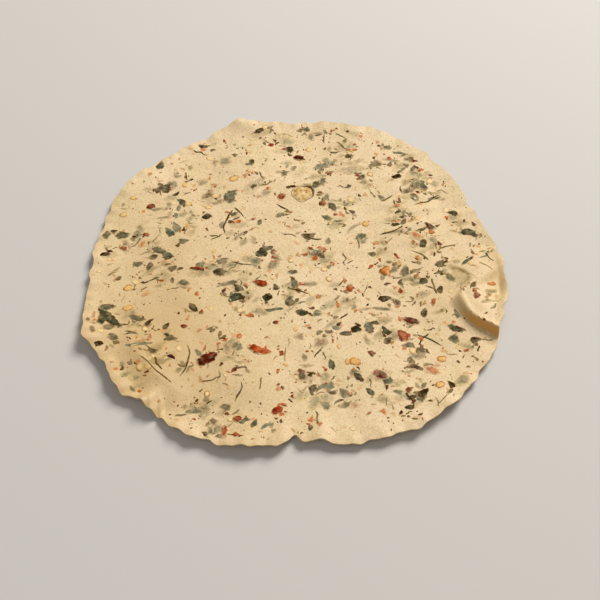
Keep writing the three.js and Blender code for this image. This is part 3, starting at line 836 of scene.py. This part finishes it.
# Dried herb leaf: thin and matt, grey green to nearly black, mottled where it has dried unevenly. Its edges
# and its small bits have dried brown.
dried_leaf = flake_material(
    "dried_herb_leaf", ((0.0, "#281900"), (0.35, "#3d3d24"), (0.7, "#575f49"), (1.0, "#717b66")),
    edge_colour="#4a2703", edge_share=0.9, rough=0.75, grain=1.5, crisp=0.78, shine=0.0,
    small_stops=((0.0, "#331c00"), (0.35, "#62430f"), (0.7, "#87662a"), (1.0, "#a08244")))
leaf_draws = np.random.default_rng(21)
leaves = []
lay_flakes(leaves, WHOLE_LEAFLETS, pointed_outline, LEAF_RELIEF, leaf_draws, bends=(-0.15, 0.15))
lay_flakes(leaves, TORN_LEAVES, broad_outline, LEAF_RELIEF, leaf_draws, bends=(-0.2, 0.2), kink=0.05)
lay_flakes(leaves, SMALL_LEAVES, full_outline, LEAF_RELIEF, leaf_draws, bends=(-0.3, 0.3), kink=0.06)
standing += [row[:2] for row in WHOLE_LEAFLETS + TORN_LEAVES]
large = spread_rows(101, 8, lengths=(5.5, 4.0), slim=0.55, among=standing)
lay_flakes(leaves, large, pointed_outline, LEAF_RELIEF, leaf_draws, shades=(0.2, 0.7), depths=(0, 0.1))
scraps = scraps_beside(TORN_LEAVES + WHOLE_LEAFLETS + SMALL_LEAVES, leaf_draws, 0.7)
lay_flakes(leaves, scraps, any_outline, LEAF_SCRAP_RELIEF, leaf_draws,
           shades=(0, 0.7), depths=(0, 0.4), bends=(-0.5, 0.5))
large = spread_rows(102, 34, lengths=(9.0, 4.5), slim=0.6, face=UNDERSIDE)
lay_flakes(leaves, large, any_outline, LEAF_RELIEF, leaf_draws, UNDERSIDE,
           depths=(0, 0.4), bends=(-0.2, 0.2))
for face, seed in ((TOP, 110), (UNDERSIDE, 120)):
    sharp = spread_rows(seed, 205, lengths=(7.5, 1.4), slim=0.55, clear=1.4, face=face,
                        crowded=0.95, **CLOSE)
    sharp += scraps_beside(sharp, leaf_draws, 0.5)
    lay_flakes(leaves, sharp, any_outline, SMALL_LEAF_RELIEF, leaf_draws, face,
               shades=(0, 0.7), depths=(0.03, 0.3), bends=(-0.5, 0.5), kink=0.08)
    soft = spread_rows(seed + 1, 135, lengths=(11.0, 3.2), slim=0.6, clear=1.0, face=face,
                       crowded=1.0, **CLOSE)
    soft += spread_rows(seed + 2, 100, lengths=(14.0, 4.0), slim=0.25, clear=0.8, face=face,
                        crowded=1.0, turns=ROLLED_TURNS, **CLOSE)
    soft += scraps_beside(soft, leaf_draws, 0.4)
    lay_flakes(leaves, soft, soft_outline, 0.0, leaf_draws, face,
               shades=(0, 0.9), depths=(0.1, 0.55), bends=(-0.4, 0.4), kink=0.08)
    faint = spread_rows(seed + 3, 125, lengths=(15.0, 6.0), slim=0.5, clear=0.6, face=face,
                        crowded=1.0, turns=ROLLED_TURNS, **CLOSE)
    lay_flakes(leaves, faint, soft_outline, 0.0, leaf_draws, face,
               shades=(0.3, 1), depths=(0.45, 0.72), bends=(-0.3, 0.3), kink=0.08)
herb_leaves = flakes_piece("herb_leaves", leaves, dried_leaf)
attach(herb_leaves, "root")

# Chilli flakes.
# Broken bits of dried red chilli skin, harder than the leaves, so they stand out of the rolled dough.
# Their faces are glossy and run from near black through red to the orange of the flesh side.
CHILLI_RELIEF = 0.4  # how far the larger flakes, the scraps beside them and the small ones stand out
CHILLI_SCRAP_RELIEF = 0.2
SMALL_CHILLI_RELIEF = 0.15
CHILLI_FLAKES = (  # x, y, length, width, turn, shade from near black to orange, depth in the dough
    (1, 61, 7.6, 3, -10, 0.1, 0.0),
    (-41, -2, 7, 2.6, -8, 0.35, 0.0),
    (-15, -9, 8, 4, -5, 0.4, 0.0),
    (-14.5, -41.5, 10, 5, -10, 0.6, 0.0),
    (-34, -46, 10, 6, 50, 0.15, 0.0),
    (41, -35, 6.6, 6, 20, 0.55, 0.0),
    (45, -28, 8.6, 4.2, -5, 0.15, 0.05),
    (36, -3, 6, 5.4, 60, 0.9, 0.0),
    (50, 15, 8, 5.5, -25, 0.6, 0.3),
    (56, 20, 6.2, 3.6, -25, 0.1, 0.05),
    (31, -53, 7.4, 5.4, -5, 0.2, 0.1),
    (-26, -77, 7.4, 3, 95, 0.45, 0.15),
    (-7, -68, 5.2, 4.2, 30, 0.5, 0.0),
    (51, -51, 7, 5.4, -30, 0.65, 0.25),
    (-63, 31, 4.8, 3.8, 60, 0.3, 0.0),
    (21.5, -11.5, 5, 4, 30, 0.6, 0.1),
)
SMALL_CHILLI_FLAKES = (
    (-21.5, -72, 4.2, 3.4, 20, 0.4, 0.05),
    (21, -66, 5.4, 4.6, 0, 0.5, 0.45),
    (-72, 8, 4.4, 3.2, 10, 0.55, 0.1),
    (11, 34, 4.6, 3.8, 40, 0.35, 0.0),
    (-7, 38, 5, 4.2, 30, 0.4, 0.1),
    (78, -11, 4, 2.2, 0, 0.9, 0.0),
    (-30, -73, 5, 4.2, -30, 0.1, 0.25),
    (9, -38, 8, 7, 30, 0.15, 0.4),
    (1, -35, 6, 5, 0, 0.1, 0.4),
    (28.5, -43.5, 4, 3, -20, 0.25, 0.05),
    (-44, -31, 3, 2.6, 0, 0.35, 0.0),
    (43, 32, 4.2, 3.4, 0, 0.6, 0.25),
    (71, -18, 4.4, 3.6, 60, 0.4, 0.1),
)
# Dried chilli skin: thin and leathery with a waxy shine, dark red where thick and orange where thin.
dried_chilli = flake_material(
    "dried_chilli_skin",
    ((0.0, "#3a1000"), (0.25, "#6a1d02"), (0.5, "#a83c0b"), (0.75, "#cc6420"), (1.0, "#df9448")),
    edge_colour="#3c0d00", edge_share=0.7, rough=0.4, grain=1.6, crisp=0.7, shine=0.05)
chilli_draws = np.random.default_rng(22)
chillies = []
lay_flakes(chillies, CHILLI_FLAKES, broad_outline, CHILLI_RELIEF, chilli_draws)
lay_flakes(chillies, SMALL_CHILLI_FLAKES, full_outline, CHILLI_RELIEF, chilli_draws)
standing += [row[:2] for row in CHILLI_FLAKES]
large = spread_rows(201, 8, lengths=(5.0, 3.4), slim=0.6, among=standing)
lay_flakes(chillies, large, torn_outline, CHILLI_RELIEF, chilli_draws, shades=(0.2, 0.9), depths=(0, 0.1))
scraps = scraps_beside(CHILLI_FLAKES, chilli_draws, 0.6)
lay_flakes(chillies, scraps, torn_outline, CHILLI_SCRAP_RELIEF, chilli_draws,
           shades=(0, 0.9), depths=(0, 0.3))
large = spread_rows(202, 24, lengths=(8.5, 3.4), slim=0.6, face=UNDERSIDE)
lay_flakes(chillies, large, torn_outline, CHILLI_RELIEF, chilli_draws, UNDERSIDE, depths=(0, 0.3))
for face, seed in ((TOP, 210), (UNDERSIDE, 220)):
    sharp = spread_rows(seed, 180, lengths=(5.0, 1.3), slim=0.65, clear=1.2, face=face,
                        crowded=0.8, **CLOSE)
    sharp += scraps_beside(sharp, chilli_draws, 0.4)
    lay_flakes(chillies, sharp, torn_outline, SMALL_CHILLI_RELIEF, chilli_draws, face,
               shades=(0, 0.9), depths=(0, 0.12), kink=0.08)
    soft = spread_rows(seed + 1, 290, lengths=(6.2, 1.8), slim=0.7, clear=0.8, face=face,
                       crowded=0.7, **CLOSE)
    lay_flakes(chillies, soft, torn_outline, 0.0, chilli_draws, face,
               shades=(0.5, 1.0), depths=(0.15, 0.6), kink=0.08)
chilli_flakes = flakes_piece("chilli_flakes", chillies, dried_chilli)
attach(chilli_flakes, "root")

# Chilli seeds.
# Flat round seeds of the same chillies, pale amber in the middle with a brown raised edge, pressed in whole.
SEED_RELIEF = 0.16  # how far the larger ones and the small ones stand out
SMALL_SEED_RELIEF = 0.1
SEED_DISH = 0.5
CHILLI_SEEDS = (  # x, y, length, width, turn, shade, depth in the dough
    (-68, -12, 4.2, 3.6, 20, 0.3, 0.0),
    (11, -2, 3.6, 3, 0, 0.8, 0.1),
    (22, -47, 5, 4.2, 150, 0.1, 0.0),
    (53, -58, 4, 3.6, 60, 0.2, 0.0),
    (55, -46, 4, 3.6, 20, 0.1, 0.0),
    (-28, 48, 5.6, 4.2, 30, 0.3, 0.1),
    (29, 22.5, 3.8, 3.2, 0, 0.2, 0.0),
    (58, 46, 4.4, 3.2, 80, 0.7, 0.1),
    (23, 36, 4.4, 3.4, 100, 0.8, 0.1),
    (5, 66, 3.6, 3.2, 0, 0.6, 0.1),
)
SMALL_SEEDS = (
    (13, -7, 3.6, 3, 0, 0.8, 0.1),
    (-65.5, -9, 3.6, 3, 0, 0.8, 0.15),
    (-67, -22, 5, 3.8, 10, 0.2, 0.1),
    (-39.5, 60.5, 3.4, 3, 0, 0.7, 0.1),
    (51, 24.5, 3.4, 2.6, 0, 0.4, 0.1),
    (-74, 26, 4, 3.2, 0, 0.4, 0.1),
    (-47, 33, 3.6, 3, 30, 0.4, 0.1),
    (6, -14.5, 4, 3.2, 0, 0.7, 0.2),
    (-59, -32.5, 3.4, 3, 0, 0.9, 0.15),
)
# Dried chilli seed: a smooth, slightly shiny coat, see-through enough to look lit from within.
dried_seed = flake_material(
    "dried_chilli_seed", ((0.0, "#df9f4c"), (0.25, "#eab866"), (0.6, "#f0cd84"), (1.0, "#f3d99c")),
    edge_colour="#a05a14", edge_share=0.95, rough=0.42, grain=0.8, crisp=0.9, shine=0.3,
    edge_from=0.45, edge_least=0.5)
seed_draws = np.random.default_rng(23)
seeds = []


def round_outline(draws, sides=14):
    turn = full_turn(sides)
    out = uneven_circle(draws, turn, oval=0.1, three_cornered=0.06)
    return out * np.cos(turn), out * np.sin(turn)


lay_flakes(seeds, CHILLI_SEEDS + SMALL_SEEDS, round_outline, SEED_RELIEF, seed_draws, dish=SEED_DISH)
standing += [row[:2] for row in CHILLI_SEEDS]
large = spread_rows(301, 8, lengths=(3.8, 3.0), slim=0.85, among=standing)
lay_flakes(seeds, large, round_outline, SEED_RELIEF, seed_draws, depths=(0, 0.1), dish=SEED_DISH)
large = spread_rows(302, 18, lengths=(4.8, 3.0), slim=0.85, face=UNDERSIDE)
lay_flakes(seeds, large, round_outline, SEED_RELIEF, seed_draws, UNDERSIDE, depths=(0, 0.1), dish=SEED_DISH)
for face, seed in ((TOP, 310), (UNDERSIDE, 320)):
    small = spread_rows(seed, 90, lengths=(3.8, 1.6), slim=0.75, clear=1.2, face=face, **CLOSE)
    lay_flakes(seeds, small, round_outline, SMALL_SEED_RELIEF, seed_draws, face,
               depths=(0.05, 0.5), dish=SEED_DISH)
chilli_seeds = flakes_piece("chilli_seeds", seeds, dried_seed)
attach(chilli_seeds, "root")

# Herb stems.
# Thin stalks of the same herb, broken to lengths of a few millimetres and rolled in flat, some of them bent.
STEM_RELIEF = 0.2  # how far the larger ones and the small ones stand out
SMALL_STEM_RELIEF = 0.1
HERB_STEMS = (  # x, y, length, width, turn, shade, depth in the dough, bend
    (-30, 24, 15, 0.8, 75, 0.35, 0.0, -0.25),
    (56, 35, 14, 0.8, 25, 0.3, 0.0, 0.15),
    (40, 18, 13, 0.8, 25, 0.5, 0.0, 0.1),
    (6, 15, 9, 1, -15, 0.6, 0.0, 0.05),
    (62, 9, 10, 0.7, 20, 0.5, 0.1, -0.15),
    (-42, -47, 16, 0.8, 85, 0.4, 0.1, 0.3),
    (-32, -55, 8, 0.7, 15, 0.4, 0.1, 0.2),
    (12, 73, 7, 0.7, 85, 0.5, 0.1, 0.0),
    (51, -37, 12, 0.8, -30, 0.2, 0.05, -0.1),
    (-23, 1, 10, 0.8, -15, 0.3, 0.05, 0.1),
)
SMALL_STEMS = (
    (-25, 29, 7, 0.7, 130, 0.35, 0.0, 0.1),
    (-34, 15, 6, 0.7, 35, 0.35, 0.0, 0.1),
    (-13.5, -57, 6.4, 0.6, 88, 0.6, 0.2, 0.05),
    (19.5, 74, 7, 0.7, -40, 0.5, 0.1, 0.1),
    (53, -65, 8, 0.7, 45, 0.5, 0.2, 0.1),
    (-53, -51.5, 19, 0.6, -40, 0.4, 0.1, 0.08),
    (38, 13, 6, 0.7, 30, 0.6, 0.3, 0.2),
)
# Dried herb stem: fibrous and matt, dark olive to straw.
dried_stem = flake_material(
    "dried_herb_stem", ((0.0, "#2c1c04"), (0.5, "#5a4418"), (1.0, "#8c7038")),
    edge_colour="#2c1c04", edge_share=0.4, rough=0.75, grain=0.6, crisp=0.9, shine=0.0)
stem_draws = np.random.default_rng(24)
stems = []


def stalk_outline(draws, sides=18):
    turn = full_turn(sides)
    across = np.sign(np.sin(turn)) * np.abs(np.sin(turn)) ** 0.5
    uneven = np.interp(np.cos(turn), FLAKE_JOINTS, draws.uniform(0.6, 1.5, len(FLAKE_JOINTS)))
    return np.cos(turn), across * uneven


lay_flakes(stems, HERB_STEMS + SMALL_STEMS, stalk_outline, STEM_RELIEF, stem_draws, kink=0.05)
standing += [row[:2] for row in HERB_STEMS]
large = spread_rows(401, 6, lengths=(10.0, 6.0), slim=0.08, among=standing)
lay_flakes(stems, large, stalk_outline, STEM_RELIEF, stem_draws,
           depths=(0, 0.1), bends=(-0.2, 0.2), kink=0.05)
large = spread_rows(402, 16, lengths=(14.0, 6.0), slim=0.08, face=UNDERSIDE)
lay_flakes(stems, large, stalk_outline, STEM_RELIEF, stem_draws, UNDERSIDE,
           depths=(0, 0.1), bends=(-0.2, 0.2))
for face, seed in ((TOP, 410), (UNDERSIDE, 420)):
    small = spread_rows(seed, 180, lengths=(9.0, 1.8), slim=0.1, clear=0.8, face=face,
                        crowded=0.4, **CLOSE)
    lay_flakes(stems, small, stalk_outline, SMALL_STEM_RELIEF, stem_draws, face,
               depths=(0.0, 0.5), bends=(-0.2, 0.2), kink=0.12)
herb_stems = flakes_piece("herb_stems", stems, dried_stem)
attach(herb_stems, "root")

# Spice specks.
# Grains of cracked black pepper and cumin about a millimetre across, all through the dough.
SPECK_RINGS = (0.75, 1.0)
SPECK_RELIEF = 0.06
# Cracked spice: rough and matt, from nearly black to the brown and brick red of its broken faces.
cracked_spice = flake_material(
    "cracked_spice",
    ((0.0, "#1c1000"), (0.5, "#3e270a"), (0.75, "#643e12"), (0.85, "#a8441a"), (1.0, "#c86c34")),
    edge_colour="#1c1200", edge_share=0.2, rough=0.7, grain=0.5, crisp=0.7, shine=0.05)
speck_draws = np.random.default_rng(25)
specks = []


def grain_outline(draws):
    return torn_outline(draws, 6, 1)


for face, seed in ((TOP, 501), (UNDERSIDE, 502)):
    grains = spread_rows(seed, 800, lengths=(1.8, 0.5), slim=0.75, clear=0.0, margin=0.8, jitter=14,
                         face=face)
    lay_flakes(specks, grains, grain_outline, SPECK_RELIEF, speck_draws, face, depths=(0, 0.25))
spice_specks = flakes_piece("spice_specks", specks, cracked_spice, SPECK_RINGS)
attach(spice_specks, "root")

# Seed husk.
# The empty skin of a lentil that was left whole in the flour, pressed flat near the back of the sheet.
# It is see-through, with a thin brown edge that is rolled over thick at the back right.
HUSK = {  # in the order of a flake's row
    "x": 2.2, "y": 39.6, "long": 9.6, "wide": 8.6, "turn": 10, "shade": 0.75, "depth": 0.05, "bend": 0.0,
}
HUSK_RELIEF = 0.1
HUSK_DISH = 1.5
HUSK_EDGE = {"thin": 0.13, "thick": 0.7, "thick_at": 25, "spread": 45, "sides": 60, "section_sides": 6}
# Dried lentil husk: a thin film over the dough, amber and half see-through, dark brown where it is rolled.
dried_husk = flake_material(
    "dried_lentil_husk",
    ((0.0, "#2a1a04"), (0.4, "#6b5230"), (0.65, "#c2924c"), (0.8, "#e0bd80"), (1.0, "#efd6a8")),
    edge_colour="#a87c3c", edge_share=0.5, rough=0.4, grain=1.6, crisp=0.9, shine=0.1, edge_from=0.6)
husk_draws = np.random.default_rng(26)
husks = []
husk_row = tuple(HUSK.values())


def husk_unevenness(around):
    return 1 + 0.06 * np.sin(np.radians(3 * around + 40)) + 0.045 * np.sin(np.radians(5 * around + 260))


def husk_outline(_, sides=30):
    around = np.arange(sides) * 360 / sides
    uneven = husk_unevenness(around)
    return uneven * np.cos(np.radians(around)), uneven * np.sin(np.radians(around))


lay_flakes(husks, [husk_row], husk_outline, HUSK_RELIEF, husk_draws, dish=HUSK_DISH)
husk_film = flakes_piece("husk_film", husks, dried_husk)
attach(husk_film, "root")

sides, section_sides = HUSK_EDGE["sides"], HUSK_EDGE["section_sides"]
around = np.repeat(np.arange(sides), section_sides) * 360 / sides
section = np.tile(np.arange(section_sides), sides) * 2 * math.pi / section_sides
rolled = hump(turn_between(HUSK_EDGE["thick_at"], around) / HUSK_EDGE["spread"])
thickness = HUSK_EDGE["thin"] + (HUSK_EDGE["thick"] - HUSK_EDGE["thin"]) * rolled
uneven = husk_unevenness(around)
edge_along = (HUSK["long"] / 2 * uneven + thickness * np.cos(section)) * np.cos(np.radians(around))
edge_across = (HUSK["wide"] / 2 * uneven + thickness * np.cos(section)) * np.sin(np.radians(around))
edge_x, edge_y = along_line(edge_along, edge_across, 0, 0, -HUSK["turn"])
edge_x, edge_y = HUSK["x"] + edge_x, HUSK["y"] + edge_y
edge_points = skin_points(edge_x, edge_y, np.ones_like(around), thickness * np.sin(section))
side = np.arange(sides)[:, None] * section_sides
side_next = np.roll(side, -1, axis=0)
corner = np.arange(section_sides)[None, :]
corner_next = np.roll(corner, -1, axis=1)
edge_facets = np.stack([side + corner, side_next + corner, side_next + corner_next, side + corner_next], -1)
# Painted highlight: the top of the rolled edge is given a paler shade, as where light falls on it.
crest = np.maximum(np.sin(section), 0) ** 2
sunk_in_dough = np.sin(np.radians(2 * around)) > -0.4  # the thin edge, but for two stretches of it
husk_edge = make_piece("husk_edge", edge_points, edge_facets.reshape(-1, 4), {
    "shade": 0.4 - 0.35 * rolled + 0.4 * rolled * crest,
    "depth": 0.35 * (1 - rolled) * sunk_in_dough,
    "out": np.zeros_like(around), **dough_values(edge_x, edge_y),
})
husk_edge.data.materials.append(dried_husk)
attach(husk_edge, "root")

# Floor, light and camera.
# A plain pale surface to lie on, one large soft light above the back right and a weak one from the front.
FLOOR_SIDE = 3.0
half = FLOOR_SIDE / 2
floor_corners = [(-half, -half, 0), (half, -half, 0), (half, half, 0), (-half, half, 0)]
floor_mesh = bpy.data.meshes.new("floor")
floor_mesh.from_pydata(floor_corners, [], [(0, 1, 2, 3)])
floor = bpy.data.objects.new("floor", floor_mesh)
bpy.context.scene.collection.objects.link(floor)
# Matt paint: even and pale, without a shine, so that only the sheet's own shadow shows on it.
pale_paint = bpy.data.materials.new("pale_matt_paint")
pale_paint.use_nodes = True
paint = pale_paint.node_tree.nodes["Principled BSDF"]
paint.inputs["Base Color"].default_value = linear("#cfc9c0")
paint.inputs["Roughness"].default_value = 0.9
floor_mesh.materials.append(pale_paint)


def soft_light(name, place, size, power):
    """A square light that faces the sheet, with its place and size in metres and its power in watts."""
    lamp = bpy.data.lights.new(name, "AREA")
    lamp.size = size
    lamp.energy = power
    holder = bpy.data.objects.new(name, lamp)
    holder.location = place
    away = np.array(place) / np.linalg.norm(place)
    holder.rotation_euler = (math.acos(away[2]), 0, math.atan2(away[1], away[0]) + math.pi / 2)
    bpy.context.scene.collection.objects.link(holder)


soft_light("window_light", (0.75, 1.05, 1.1), 0.75, 33.0)
soft_light("front_fill", (-0.4, -0.8, 1.4), 1.2, 4.0)
ROOM_LIGHT = 0.22
world = bpy.data.worlds.new("studio")
world.use_nodes = True
room = world.node_tree.nodes["Background"]
room.inputs["Color"].default_value = (1.0, 1.0, 1.0, 1.0)
room.inputs["Strength"].default_value = ROOM_LIGHT
bpy.context.scene.world = world
bpy.context.scene.view_settings.view_transform = "Standard"

CAMERA_PLACE = (1.1, -228.7, 291.3)
CAMERA_PITCH = 54  # degrees down
FOCAL_LENGTH, SENSOR_WIDTH = 54, 36
lens = bpy.data.cameras.new("camera")
lens.lens = FOCAL_LENGTH
lens.sensor_width = SENSOR_WIDTH
lens.clip_start = 0.01
camera = bpy.data.objects.new("camera", lens)
camera.location = (np.array(CAMERA_PLACE) - sheet_middle) * MM
camera.rotation_euler = (math.radians(90 - CAMERA_PITCH), 0, 0)
bpy.context.scene.collection.objects.link(camera)
bpy.context.scene.camera = camera
